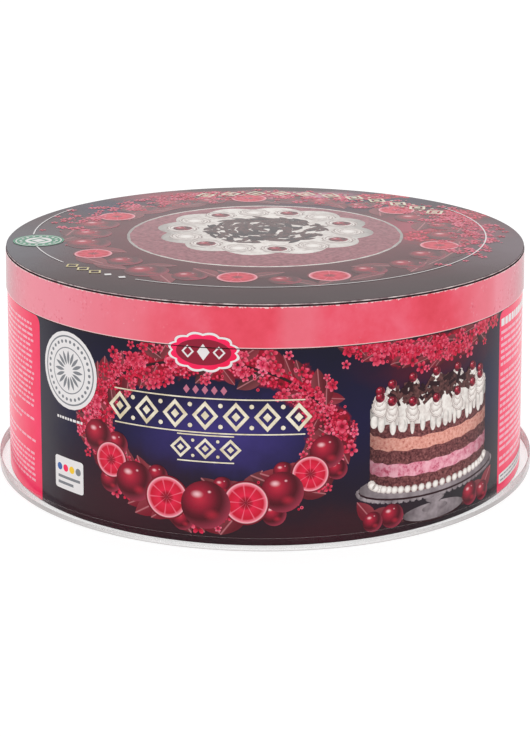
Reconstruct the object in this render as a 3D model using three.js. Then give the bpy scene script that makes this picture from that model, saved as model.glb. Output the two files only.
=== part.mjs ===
// A shut round cake box: a printed card drum with a shallow card lid, standing in a clear plastic tray.
// Millimetres, +Z up. The origin is the middle of the tray's underside, where the box stands.
import * as THREE from 'three';

// Driving dimensions of the whole box.
const boxHeight = 82.1;
const sides = 128;
const seatGap = 0.3;

// The lid: a flat card disc laid on the rim of a card band.
const discRadius = 94;
const cardThickness = 0.6;
const bandHeight = 14.7;
const bandTopRadius = 94.2;
const bandFootRadius = 94.6;
const bandThickness = 0.5;
const cutEdgeBreak = 0.12;

// The drum: a card wall round the filling, a little wider at its foot, with a neck inside the lid band.
const wallTopRadius = 94.2;
const wallFootRadius = 95.7;
const wallEdgeBreak = 0.2;

// The tray: a thin clear floor with an upright rim.
const trayRadius = 99.5;
const trayRimHeight = 4.5;
const trayFloorThickness = 0.5;
const trayRimThickness = 0.6;
const trayFootRounding = 0.5;
const trayInnerFillet = 0.7;
const arcSteps = 3;

// Heights of the joints between the pieces.
const discUnderside = boxHeight - cardThickness;
const bandTop = discUnderside - seatGap;
const bandFoot = boxHeight - bandHeight;
const wallShoulder = bandFoot - seatGap;
const neckRadius = bandTopRadius - bandThickness - seatGap;

// A solid of revolution about +Z from a profile of [radius, height] pairs, which runs up its outer side.
function turned(profile) {
  const points = profile.map(([radius, height]) => new THREE.Vector2(radius, height));
  const geometry = new THREE.LatheGeometry(points, sides);
  geometry.rotateX(Math.PI / 2);
  return geometry;
}

// Profile points of a quarter round, from one angle to another about its centre.
function quarterRound(centreRadius, centreHeight, rounding, fromAngle, toAngle) {
  const points = [];
  for (let step = 0; step <= arcSteps; step += 1) {
    const angle = fromAngle + ((toAngle - fromAngle) * step) / arcSteps;
    points.push([centreRadius + rounding * Math.cos(angle), centreHeight + rounding * Math.sin(angle)]);
  }
  return points;
}

function namedMesh(name, geometry, material) {
  const mesh = new THREE.Mesh(geometry, material);
  mesh.name = name;
  return mesh;
}

// The printed disc, with its raw cut edge just broken at both faces.
function topDisc() {
  const geometry = turned([
    [0, discUnderside],
    [discRadius - cutEdgeBreak, discUnderside],
    [discRadius, discUnderside + cutEdgeBreak],
    [discRadius, boxHeight - cutEdgeBreak],
    [discRadius - cutEdgeBreak, boxHeight],
    [0, boxHeight],
  ]);
  const material = new THREE.MeshStandardMaterial({ color: 0x57474c, roughness: 0.3, metalness: 0 });
  return namedMesh('top_disc', geometry, material);
}

// The lid's skirt: a closed ring round the neck of the drum, standing out a little past the wall.
function lidBand() {
  const innerRadius = bandTopRadius - bandThickness;
  const geometry = turned([
    [innerRadius, bandFoot],
    [bandFootRadius - cutEdgeBreak, bandFoot],
    [bandFootRadius, bandFoot + cutEdgeBreak],
    [bandTopRadius, bandTop - cutEdgeBreak],
    [bandTopRadius - cutEdgeBreak, bandTop],
    [innerRadius, bandTop],
    [innerRadius, bandFoot],
  ]);
  const material = new THREE.MeshStandardMaterial({ color: 0xea6a7c, roughness: 0.32, metalness: 0 });
  return namedMesh('lid_band', geometry, material);
}

// The drum, solid because it is shut: its wall leans out towards the foot, and its neck fills the band.
function boxWall() {
  const geometry = turned([
    [0, trayFloorThickness],
    [wallFootRadius - wallEdgeBreak, trayFloorThickness],
    [wallFootRadius, trayFloorThickness + wallEdgeBreak],
    [wallTopRadius, wallShoulder - wallEdgeBreak],
    [wallTopRadius - wallEdgeBreak, wallShoulder],
    [neckRadius, wallShoulder],
    [neckRadius, discUnderside],
    [0, discUnderside],
  ]);
  const material = new THREE.MeshStandardMaterial({ color: 0x3a2530, roughness: 0.3, metalness: 0 });
  return namedMesh('box_wall', geometry, material);
}

// The tray: its foot and the inside of its rim are rounded, and its rim ends in a half round lip.
function baseTray() {
  const rimInside = trayRadius - trayRimThickness;
  const lip = trayRimThickness / 2;
  const lipHeight = trayRimHeight - lip;
  const geometry = turned([
    [0, 0],
    ...quarterRound(trayRadius - trayFootRounding, trayFootRounding, trayFootRounding, -Math.PI / 2, 0),
    ...quarterRound(trayRadius - lip, lipHeight, lip, 0, Math.PI),
    ...quarterRound(
      rimInside - trayInnerFillet,
      trayFloorThickness + trayInnerFillet,
      trayInnerFillet,
      0,
      -Math.PI / 2,
    ),
    [0, trayFloorThickness],
  ]);
  const material = new THREE.MeshStandardMaterial({
    color: 0xdcd8d8,
    roughness: 0.08,
    metalness: 0,
    transparent: true,
    opacity: 0.35,
  });
  return namedMesh('base_tray', geometry, material);
}

const cakeBox = new THREE.Group();
cakeBox.add(baseTray());
cakeBox.add(boxWall());
cakeBox.add(lidBand());
cakeBox.add(topDisc());

export default cakeBox;
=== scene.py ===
# Shut round cake box: printed card drum, pink lid band, flat lid disc, clear tray.
import bpy
import bmesh
import math
import random
from functools import partial
from mathutils import Matrix, Vector


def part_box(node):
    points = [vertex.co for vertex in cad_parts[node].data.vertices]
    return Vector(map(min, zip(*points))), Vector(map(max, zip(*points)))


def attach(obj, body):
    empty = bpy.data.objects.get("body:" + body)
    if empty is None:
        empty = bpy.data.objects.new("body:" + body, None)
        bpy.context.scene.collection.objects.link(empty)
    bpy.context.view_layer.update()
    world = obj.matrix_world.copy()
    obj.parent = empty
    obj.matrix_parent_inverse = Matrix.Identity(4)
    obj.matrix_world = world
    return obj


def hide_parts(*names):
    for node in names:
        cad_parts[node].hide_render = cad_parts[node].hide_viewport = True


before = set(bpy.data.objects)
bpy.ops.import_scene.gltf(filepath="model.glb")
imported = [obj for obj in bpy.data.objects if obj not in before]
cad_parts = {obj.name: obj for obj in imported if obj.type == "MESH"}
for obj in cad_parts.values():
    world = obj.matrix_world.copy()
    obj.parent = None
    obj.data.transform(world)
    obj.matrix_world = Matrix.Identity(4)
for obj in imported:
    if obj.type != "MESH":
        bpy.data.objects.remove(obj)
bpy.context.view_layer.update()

mm = 0.001
wallLow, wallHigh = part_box("box_wall")
bandLow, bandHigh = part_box("lid_band")
discLow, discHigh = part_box("top_disc")
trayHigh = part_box("base_tray")[1]


# helpers for nodes, materials and meshes

def toLinear(hexColour):
    channels = []
    for start in (0, 2, 4):
        value = int(hexColour[start:start + 2], 16) / 255
        channels.append(value / 12.92 if value <= 0.04045 else ((value + 0.055) / 1.055) ** 2.4)
    return (*channels, 1.0)


def feed(socket, value):
    # a socket is linked to another one, or set to a number, a vector or a hex colour
    if isinstance(value, bpy.types.NodeSocket):
        socket.id_data.links.new(value, socket)
    else:
        socket.default_value = toLinear(value) if isinstance(value, str) else value


def addNode(tree, kind, links=(), operation=None, out=0, stops=(), **settings):
    # links feed the inputs by position or by name, stops are a colour ramp's,
    # and out is the output that comes back
    made = tree.nodes.new("ShaderNode" + kind)
    if operation:
        made.operation = operation
    for key, value in settings.items():
        setattr(made, key, value)
    for slot, value in links.items() if isinstance(links, dict) else enumerate(links):
        feed(made.inputs[slot], value)
    for index, (position, hexColour) in enumerate(stops):
        elements = made.color_ramp.elements
        element = elements[index] if index < 2 else elements.new(position)
        element.position = position
        element.color = toLinear(hexColour)
    return made.outputs[out]


def newMaterial(name, sockets):
    # a Principled material with its sockets fed by name, and a function that adds nodes to it
    material = bpy.data.materials.new(name)
    material.use_nodes = True
    shader = material.node_tree.nodes["Principled BSDF"]
    for socket, value in sockets.items():
        feed(shader.inputs[socket], value)
    return material, partial(addNode, material.node_tree), shader


def overprint(node, ground, layers):
    # inks printed one over another, each through its own mask
    for mask, ink in layers:
        ground = node("Mix", {0: mask, 6: ground, 7: ink}, out=2, data_type="RGBA")
    return ground


def ovalReach(node, place, x, y, halfWidth=1.0, halfHeight=1.0):
    # distance from (x, y), which is 1 all along the edge of the oval about it
    moved = node("VectorMath", [place, (x, y, 0)], "SUBTRACT")
    scaled = node("VectorMath", [moved, (1 / halfWidth, 1 / halfHeight, 0)], "MULTIPLY")
    return node("VectorMath", [scaled], "LENGTH", out="Value")


def spots(node, place, ovals, strength=1.0):
    # strength in the middle of each oval, falling softly to 0 at its edge
    # an oval is (x, y, half width, half height)
    total = None
    for oval in ovals:
        reach = ovalReach(node, place, *oval)
        spot = node("MapRange", [reach, 0.0, 1.0, strength, 0.0], interpolation_type="SMOOTHSTEP")
        total = spot if total is None else node("Math", [total, spot], "MAXIMUM")
    return total


# streak is how far apart the waves of the card are, in millimetres, and flow draws them upright
filmSet = {"roughness": 0.2, "ior": 1.5, "level": 0.17, "streak": 22, "flow": 0.1, "height": 0.06}


def printedFilm(name, ink, *inkSettings, level=filmSet["level"]):
    # gloss laminate over offset ink: dark inks stay deep, and the card under it bends the
    # shine in upright streaks; ink is a hex colour, or a function that adds the ink's nodes
    material, node, shader = newMaterial(name, {"Roughness": filmSet["roughness"],
                                                "IOR": filmSet["ior"],
                                                "Specular IOR Level": level})
    place = node("TexCoord", out="Object")
    stretch = (1 / mm, 1 / mm, filmSet["flow"] / mm)
    flowing = node("VectorMath", [place, stretch], "MULTIPLY")
    waves = node("TexNoise", {"Vector": flowing, "Scale": 1 / filmSet["streak"], "Detail": 2})
    feed(shader.inputs["Normal"], node("Bump", {"Strength": 1.0, "Height": waves,
                                                "Distance": filmSet["height"] * mm}))
    feed(shader.inputs["Base Color"], ink(node, *inkSettings) if callable(ink) else ink)
    return material


meshSet = {"merge": 0.004, "sharpAngle": 32}


def finishMesh(bm, name, materials, closed=True):
    if closed:
        bmesh.ops.remove_doubles(bm, verts=bm.verts, dist=meshSet["merge"] * mm)
        bmesh.ops.recalc_face_normals(bm, faces=bm.faces)
    mesh = bpy.data.meshes.new(name)
    bm.to_mesh(mesh)
    bm.free()
    for material in materials:
        mesh.materials.append(material)
    mesh.shade_smooth()
    mesh.set_sharp_from_angle(angle=math.radians(meshSet["sharpAngle"]))
    piece = bpy.data.objects.new(name, mesh)
    bpy.context.collection.objects.link(piece)
    return piece


def turned(profile, closed=False):
    # spins a profile of (radius, height) in metres about the upright axis, in the drum's columns
    bm = bmesh.new()
    verts = [bm.verts.new((radius, 0, height)) for radius, height in profile]
    edges = [bm.edges.new(pair) for pair in zip(verts, verts[1:])]
    if closed:
        edges.append(bm.edges.new((verts[-1], verts[0])))
    bmesh.ops.spin(bm, geom=verts + edges, cent=(0, 0, 0), axis=(0, 0, 1), angle=math.tau,
                   steps=wrapSet["columns"], use_merge=True)
    bmesh.ops.remove_doubles(bm, verts=bm.verts, dist=meshSet["merge"] * mm)
    return bm


def ridePiece(piece, slotName, *nodes):
    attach(piece, "root")
    if nodes:
        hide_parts(*nodes)


# camera and light

cameraSet = {"lens": 85.76, "sensor": 36, "distance": 0.6552, "elevation": 16.36,
             "aimHeight": 0.0413, "shift": (-0.0001, -0.0333), "clipStart": 0.01}


def makeCamera():
    data = bpy.data.cameras.new("camera")
    data.lens = cameraSet["lens"]
    data.sensor_width = cameraSet["sensor"]
    data.shift_x, data.shift_y = cameraSet["shift"]
    data.clip_start = cameraSet["clipStart"]
    camera = bpy.data.objects.new("camera", data)
    bpy.context.collection.objects.link(camera)
    elevation = math.radians(cameraSet["elevation"])
    back = Vector((0, -math.cos(elevation), math.sin(elevation)))
    camera.location = Vector((0, 0, cameraSet["aimHeight"])) + back * cameraSet["distance"]
    camera.rotation_euler = (math.pi / 2 - elevation, 0, 0)
    bpy.context.scene.camera = camera


# a lamp is (name, place, size, power); the floor lies its gap in millimetres under the tray
lightSet = {"strength": 1.04, "sides": 0.6, "aim": (0, 0, 0.04),
            "sky": ((0.5, "ffffff"), (0.6, "fdfdfd"), (0.64, "cfcccd"), (0.8, "f6f6f6"),
                    (1.0, "ffffff")),
            "lamps": (("leftSoftbox", (-0.8, -0.7, 0.8), 0.6, 1.0),
                      ("rightSoftbox", (0.9, -0.5, 0.7), 0.5, 0.7))}
floorSet = {"radius": 6, "gap": 0.1, "hex": "909090", "roughness": 0.9, "glow": 0.8}


def makeStudio():
    scene = bpy.context.scene
    scene.view_settings.view_transform = "Standard"
    world = bpy.data.worlds.new("studio")
    scene.world = world
    world.use_nodes = True
    node = partial(addNode, world.node_tree)
    background = world.node_tree.nodes["Background"]
    across = node("SeparateXYZ", [node("TexCoord")])
    rise = node("MapRange", [across.node.outputs["Z"], -1.0, 1.0, 0.0, 1.0])
    feed(background.inputs["Color"], node("ValToRGB", [rise], stops=lightSet["sky"]))
    side = node("Math", [across], "ABSOLUTE")
    strength = node("MapRange", [side, 0.5, 1.0, lightSet["strength"], lightSet["sides"]])
    feed(background.inputs["Strength"], strength)
    for name, where, size, power in lightSet["lamps"]:
        data = bpy.data.lights.new(name, "AREA")
        data.size = size
        data.energy = power
        lamp = bpy.data.objects.new(name, data)
        lamp.location = where
        towardsAim = Vector(lightSet["aim"]) - Vector(where)
        lamp.rotation_euler = towardsAim.to_track_quat("-Z", "Y").to_euler()
        bpy.context.collection.objects.link(lamp)
    bm = bmesh.new()
    bmesh.ops.create_circle(bm, cap_ends=True, segments=64, radius=floorSet["radius"])
    # opal acrylic, white and lit a little from below, so shadows stay faint
    acrylic = newMaterial("opalAcrylicTable", {"Base Color": floorSet["hex"],
                                               "Roughness": floorSet["roughness"],
                                               "Emission Color": "ffffff",
                                               "Emission Strength": floorSet["glow"]})[0]
    floor = finishMesh(bm, "studioFloor", [acrylic], closed=False)
    floor.location.z = -floorSet["gap"] * mm


makeCamera()
makeStudio()
print("camera and studio made")


# how flat artwork is laid on the drum and the disc
# Artwork is drawn flat in millimetres: x along the wall from its front, y up from its foot and
# z its lift, which is its place in the order of the inks. Of a lift only liftShare is kept as
# height, so that no print casts a shadow.

wrapSet = {"radius": 95.0, "columns": 252, "fieldFrom": -38, "fieldTo": 41, "topRadius": 94.2,
           "liftShare": 0.3, "margins": (0.25, 0.35), "bakeRows": 3, "bakeMargins": (0.004, 0.02),
           "bakeDisc": 0.495}
footHeight = wallLow.z / mm
wallHeight = bandLow.z / mm - footHeight
girth = math.tau * wrapSet["radius"]
column = girth / wrapSet["columns"]
fieldLeft = wrapSet["fieldFrom"] * column
fieldRight = wrapSet["fieldTo"] * column
backTurn = girth / 2  # the back repeats the front half a turn on
wallReach = (wrapSet["margins"][0], wallHeight - wrapSet["margins"][1])


def wallRadius(height):
    share = min(max(height / wallHeight, 0), 1)
    return wallHigh.x / mm + (wrapSet["topRadius"] - wallHigh.x / mm) * share


def bandRadius(height):
    share = (height - wallHeight) / (bandHigh.z / mm - footHeight - wallHeight)
    return bandHigh.x / mm + (bandSet["topRadius"] - bandHigh.x / mm) * share


def drawnFlat(place, near=0.0):
    return place.x, place.y


def unrolled(foot, place, near=0.0):
    # a point of a spun piece as flat artwork has it: along the wall, on the side of near, and
    # up from foot
    along = math.atan2(place.x, -place.y) * wrapSet["radius"]
    return near + math.remainder(along - near, girth), place.z / mm - foot


def mapRows(bm, reach, flatAt):
    # the bake's map: the wrap in three rows, one above the other; reach is (lowest, highest)
    layer = bm.loops.layers.uv.new("OFBake")
    rows = wrapSet["bakeRows"]
    sideMargin, endMargin = wrapSet["bakeMargins"]
    for face in bm.faces:
        middle = flatAt(face.calc_center_median())[0]
        turns = (middle - fieldLeft) / girth
        row = math.floor(turns % 1 * rows)
        start = fieldLeft + (math.floor(turns) + row / rows) * girth
        for loop in face.loops:
            along, height = flatAt(loop.vert.co, middle)
            across = (along - start) / girth * rows
            up = (height - reach[0]) / (reach[1] - reach[0])
            loop[layer].uv = (sideMargin + across * (1 - 2 * sideMargin),
                              (row + endMargin + up * (1 - 2 * endMargin)) / rows)


def mapPrint(bm, flatAt, start, period):
    # where a spun piece's own print is, in metres; it begins at start and again each period
    layer = bm.loops.layers.uv.new("printMap")
    for face in bm.faces:
        middle = flatAt(face.calc_center_median())[0]
        repeat = math.floor((middle - start) / period) * period
        for loop in face.loops:
            along, height = flatAt(loop.vert.co, middle)
            loop[layer].uv = ((along - repeat) * mm, height * mm)


def mapDisc(bm):
    layer = bm.loops.layers.uv.new("OFBake")
    share = wrapSet["bakeDisc"] / discHigh.x
    for face in bm.faces:
        for loop in face.loops:
            loop[layer].uv = (0.5 + loop.vert.co.x * share, 0.5 + loop.vert.co.y * share)


def cutAt(bm, place, outward, clear=False):
    bmesh.ops.bisect_plane(bm, geom=bm.verts[:] + bm.edges[:] + bm.faces[:], dist=1e-4,
                           plane_co=place, plane_no=outward, clear_outer=clear)


def trimArt(bm, across, reach):
    for place, outward in (((across[0], 0, 0), (-1, 0, 0)), ((across[1], 0, 0), (1, 0, 0)),
                           ((0, reach[0], 0), (0, -1, 0)), ((0, reach[1], 0), (0, 1, 0))):
        cutAt(bm, place, outward, clear=True)


def faceOut(bm, outwardAt):
    bm.normal_update()
    for face in bm.faces:
        if face.normal.dot(outwardAt(face.calc_center_median())) < 0:
            face.normal_flip()


def wrapOn(bm, radiusAt, reach):
    # cuts flat artwork where the drum has its edges, and lays each strip flat on its column
    left = min(vert.co.x for vert in bm.verts)
    right = max(vert.co.x for vert in bm.verts)
    for index in range(math.ceil(left / column), math.floor(right / column) + 1):
        cutAt(bm, (index * column, 0, 0), (1, 0, 0))
    bm.faces.sort(key=lambda face: face.calc_center_median().z)
    mapRows(bm, reach, drawnFlat)
    step = math.tau / wrapSet["columns"]
    for vert in bm.verts:
        angle = vert.co.x / wrapSet["radius"]
        fromMiddle = (angle / step % 1 - 0.5) * step
        chord = radiusAt(vert.co.y) * math.cos(step / 2) / math.cos(fromMiddle)
        radius = (chord + vert.co.z * wrapSet["liftShare"]) * mm
        height = (footHeight + vert.co.y) * mm
        vert.co = (math.sin(angle) * radius, -math.cos(angle) * radius, height)
    faceOut(bm, lambda middle: Vector((middle.x, middle.y, 0)))


def layOnDisc(bm):
    bm.faces.sort(key=lambda face: face.calc_center_median().z)
    for vert in bm.verts:
        lift = vert.co.z * wrapSet["liftShare"] * mm
        vert.co = (vert.co.x * mm, vert.co.y * mm, discHigh.z + lift)
    mapDisc(bm)
    faceOut(bm, lambda middle: Vector((0, 0, 1)))


def repeatBehind(bm):
    # the same print once more on the back
    copy = bmesh.ops.duplicate(bm, geom=bm.verts[:] + bm.edges[:] + bm.faces[:])["geom"]
    moved = [part for part in copy if isinstance(part, bmesh.types.BMVert)]
    bmesh.ops.translate(bm, verts=moved, vec=(backTurn, 0, 0))


# stamps: small flat shapes one unit in radius, which artwork is printed from

def roundShape(bm, sides=28):
    bmesh.ops.create_circle(bm, cap_ends=True, segments=sides, radius=1)


def ringShape(bm, sides=48, inner=0.86):
    verts = []
    for radius in (1, inner):
        verts += bmesh.ops.create_circle(bm, segments=sides, radius=radius)["verts"]
    edges = {edge for vert in verts for edge in vert.link_edges}
    bmesh.ops.bridge_loops(bm, edges=list(edges))


def barShape(bm):
    bmesh.ops.create_grid(bm, x_segments=1, y_segments=1, size=1)


def leafShape(bm):
    roundShape(bm, sides=20)
    for vert in bm.verts:
        vert.co.y *= 0.5 * (1 - min(1, vert.co.x ** 2)) ** 0.5


def blossomShape(bm, petals=5):
    petal = bmesh.ops.create_circle(bm, cap_ends=True, segments=7, radius=0.36)["verts"]
    bmesh.ops.scale(bm, verts=petal, vec=(1.15, 0.86, 1))
    bmesh.ops.translate(bm, verts=petal, vec=(0.6, 0, 0))
    bmesh.ops.spin(bm, geom=bm.verts[:] + bm.edges[:] + bm.faces[:], cent=(0, 0, 0),
                   axis=(0, 0, 1), angle=math.tau * (petals - 1) / petals, steps=petals - 1,
                   use_duplicate=True)


def scallopShape(bm, lobes=12, depth=0.1, sides=8):
    roundShape(bm, sides=lobes * sides)
    for vert in bm.verts:
        angle = math.atan2(vert.co.y, vert.co.x)
        vert.co *= 1 - depth + depth * abs(math.sin(angle * lobes / 2))


def plateShape(bm):
    barShape(bm)
    bmesh.ops.bevel(bm, geom=bm.verts[:], affect="VERTICES", offset=0.16, segments=4,
                    profile=0.5, material=-1)


def makeStamp(name, shape):
    bm = bmesh.new()
    shape(bm)
    motif = bm.loops.layers.uv.new("motif")
    for face in bm.faces:
        for loop in face.loops:
            loop[motif].uv = loop.vert.co.xy
    mesh = bpy.data.meshes.new(name + "Stamp")
    bm.to_mesh(mesh)
    bm.free()
    return mesh


stamps = {name: makeStamp(name, shape) for name, shape in {
    "round": roundShape,
    "dot": partial(roundShape, sides=8),
    "ring": ringShape,
    "hairRing": partial(ringShape, inner=0.955),
    "lozengeRing": partial(ringShape, sides=4, inner=0.66),
    "plate": plateShape,
    "lozenge": partial(roundShape, sides=4),
    "bar": barShape,
    "leaf": leafShape,
    "blossom": blossomShape,
    "scallop": scallopShape,
    "dollop": partial(scallopShape, lobes=9, depth=0.12, sides=4),
}.items()}


def newArt():
    bm = bmesh.new()
    bm.loops.layers.uv.new("motif")
    bm.faces.layers.float.new("tone")
    return bm


def stamp(bm, name, place, size, lift, ink=0, turn=0.0, tone=0.5):
    # size is a half width, or (half width, half height)
    # stamps that overlap need lifts of their own, so that one ink is clearly over the other
    vertCount, faceCount = len(bm.verts), len(bm.faces)
    bm.from_mesh(stamps[name])
    bm.verts.ensure_lookup_table()
    bm.faces.ensure_lookup_table()
    halfWidth, halfHeight = size if isinstance(size, tuple) else (size, size)
    spread = Matrix.Diagonal((halfWidth, halfHeight, 1, 1))
    where = Matrix.Translation((*place, lift)) @ Matrix.Rotation(turn, 4, "Z") @ spread
    bmesh.ops.transform(bm, matrix=where, verts=bm.verts[vertCount:])
    toneLayer = bm.faces.layers.float["tone"]
    for face in bm.faces[faceCount:]:
        face.material_index = ink
        face[toneLayer] = tone


def strip(bm, line, width, lift):
    # a ribbon along a line of points: a grid one cell wide, bent to the line
    last = len(line) - 1
    made = bmesh.ops.create_grid(bm, x_segments=last, y_segments=1, size=1)["verts"]
    for vert in made:
        index = round((vert.co.x + 1) / 2 * last)
        along = Vector(line[min(index + 1, last)]) - Vector(line[max(index - 1, 0)])
        across = along.normalized().orthogonal() * vert.co.y * width / 2
        vert.co = (line[index][0] + across.x, line[index][1] + across.y, lift)


print("stamps made")


# board, which shows at every cut edge

def boardEdge(name, dark, light, grain):
    # unprinted board: dull, slightly fibrous, with blotches of grain millimetres
    material, node, shader = newMaterial(name, {"Roughness": 0.75})
    place = node("TexCoord", out="Object")
    fibre = node("TexNoise", {"Vector": place, "Scale": 1 / (grain * mm), "Detail": 4})
    tint = node("ValToRGB", [fibre], stops=((0.35, dark), (0.65, light)))
    feed(shader.inputs["Base Color"], tint)
    return material


# a pale line where the card was cut, the same blotched darker, and near-black board that is
# painted shade in the gaps and under the lid
rawCard = boardEdge("bleachedBoardCutEdge", "c9b4b2", "efe2dc", 0.5)
blotchedDarkCard = boardEdge("blotchedDarkBoardCutEdge", "8a7076", "e0d4d2", 2.5)
shadedCard = boardEdge("linerBoardPaintedShade", "260c13", "40151f", 4.0)


# what the grounds of the drum and the disc share; their places are in millimetres

def loosened(node, place, source, size, push):
    # place pushed about, by up to half of push each way, by a cloud over source with blotches
    # of size millimetres
    cloud = node("TexNoise", {"Vector": source, "Scale": 1 / size, "Detail": 5,
                              "Roughness": 0.6}, out="Color")
    reach = [(push, push, 0), (-push / 2, -push / 2, 0)]
    return node("VectorMath", [place, node("VectorMath", [cloud, *reach], "MULTIPLY_ADD")], "ADD")


def colourFields(node, ground, place, fields):
    return overprint(node, ground, [(spots(node, place, ovals, strength), ink)
                                    for ovals, strength, ink in fields])


def foliage(node, ground, place, crown, dabsPerMm):
    # crimson foliage where crown is near 1: a dark mass that breaks up into dabs where thick
    grain = node("TexNoise", {"Vector": place, "Scale": 1 / 5, "Detail": 6, "Roughness": 0.7})
    dense = node("Math", [grain, 0.7, crown], "MULTIPLY_ADD")
    shade = node("MapRange", [dense, 0.62, 0.86, 0.0, 1.0])
    dabs = node("TexVoronoi", {"Vector": place, "Scale": dabsPerMm}, out="Color",
                voronoi_dimensions="2D")
    dabInk = node("ValToRGB", [node("SeparateColor", [dabs])],
                  stops=((0.1, "5a0012"), (0.4, "b8062e"), (0.7, "e01c4a"), (1, "ee6e88")))
    dabEdge = node("MapRange", [dabs.node.outputs["Distance"], 0.4, 0.55, 1.0, 0.0])
    thick = node("MapRange", [dense, 0.74, 0.8, 0.0, 1.0])
    dabMask = node("Math", [thick, dabEdge], "MULTIPLY")
    return overprint(node, ground, ((shade, "8a0420"), (dabMask, dabInk)))


# the drum

# ramp is over the height of the wall; a field is (ovals, strength, colour)
drumSet = {"edgeBreak": 0.2, "seatGap": 0.3, "rows": 6, "neckRadius": 93.4,
           "cloud": (16, 16), "dabsPerMm": 0.8, "swagShade": ((62, 63, 40, 6),), "rampTop": 66,
           "ramp": ((0.05, "2a141c"), (0.3, "1d1226"), (0.62, "171238"), (1.0, "120e26")),
           # the first field, a tall grey-plum strip at the front's left, is painted sheen
           "fields": ((((-86, 30, 16, 60),), 0.9, "332e38"),
                      (((92, 8, 66, 26),), 1.0, "2a272c"),
                      (((-50, 12, 40, 26), (20, 4, 40, 12)), 0.85, "3a141f"),
                      (((-14, 38, 40, 20),), 0.75, "423682"),
                      (((62, 58, 40, 12),), 0.8, "5a0c1e"))}
garlandSet = {"centre": (-19.5, 37.8), "halfWidth": 41.0, "halfHeight": 24.3, "haze": 0.3,
              "vineSteps": 90, "vineWidth": 0.9, "leaves": 60, "leafSides": (-4.2, 4.6),
              "leafSizes": (3.4, 5.4), "leafTurns": (-0.8, 0.8), "footLeaf": 2.6,
              "blossoms": 820, "blossomMiddle": 0.8, "spread": 4.4, "blossomReach": (-6.5, 8.0),
              "blossomShares": (0.22, 0.55, 0.9), "footFrom": 0.45,
              "berrySides": (-6.4, 6.2), "berrySizes": (3.2, 4.2),
              "fruitStep": 0.33, "fruitSize": 8.3, "taper": 0.64, "wheelTurn": 0.3}


def drumInk(node):
    # four-colour ink on board: deep navy and maroon grounds with crimson foliage dabs, and a
    # grey-plum strip of painted sheen at the front's left
    place = node("VectorMath", {0: node("UVMap", uv_map="printMap"), "Scale": 1 / mm}, "SCALE")
    loose = loosened(node, place, place, *drumSet["cloud"])
    height = node("SeparateXYZ", [loose], out="Y")
    height = node("Math", [height, 1 / drumSet["rampTop"]], "MULTIPLY")
    ground = node("ValToRGB", [height], stops=drumSet["ramp"])
    ground = colourFields(node, ground, loose, drumSet["fields"])
    reach = ovalReach(node, loose, *garlandSet["centre"], garlandSet["halfWidth"],
                      garlandSet["halfHeight"])
    fromRing = node("Math", [node("Math", [reach, 1.0], "SUBTRACT")], "ABSOLUTE")
    crown = node("MapRange", [fromRing, 0.0, garlandSet["haze"], 1.0, 0.0],
                 interpolation_type="SMOOTHSTEP")
    crown = node("Math", [crown, spots(node, loose, drumSet["swagShade"])], "MAXIMUM")
    return foliage(node, ground, place, crown, drumSet["dabsPerMm"])


def makeDrum():
    foot, top = wallLow.z, wallHigh.z
    shoulder = bandLow.z - drumSet["seatGap"] * mm
    edge = drumSet["edgeBreak"] * mm
    neck = drumSet["neckRadius"] * mm
    profile = [(0, foot), (wallHigh.x - edge, foot)]
    for row in range(drumSet["rows"] + 1):
        height = (foot + edge) + (shoulder - foot - 2 * edge) * row / drumSet["rows"]
        profile.append((wallRadius(height / mm - footHeight) * mm, height))
    profile += [(profile[-1][0] - edge, shoulder), (neck, shoulder), (neck, top), (0, top)]
    bm = turned(profile)
    # faces off the print take the near-black board, painted shade in the gap under the band and
    # under the lid
    for face in bm.faces:
        printed = face.normal.z ** 2 < 0.1 and face.calc_center_median().z < shoulder - edge
        face.material_index = 0 if printed else 1
    flatAt = partial(unrolled, footHeight)
    mapPrint(bm, flatAt, fieldLeft, backTurn)
    mapRows(bm, (0, wallHeight), flatAt)
    drum = finishMesh(bm, "drum", [printedFilm("laminatedDrumPrint", drumInk), shadedCard])
    ridePiece(drum, "wall_card", "box_wall")


makeDrum()
print("drum made")


# the lid: band and disc

# pale holds the ovals of painted sheen on the band's sides, and ends those of painted shade at
# its far left and right; the top fold is rubbed white between the worn heights, which also paints
# the highlight of its top edge
bandSet = {"topRadius": 94.2, "thickness": 0.5, "edge": 0.12, "level": 0.3,
           "bakeReach": (0, 14), "wearAndHighlight": (12.9, 13.8), "cutLine": (0.2, 0.42),
           "pale": ((-94, 7, 78, 30), (104, 7, 36, 30)),
           "ends": ((-148, 7, 56, 90), (148, 7, 56, 90))}


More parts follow.
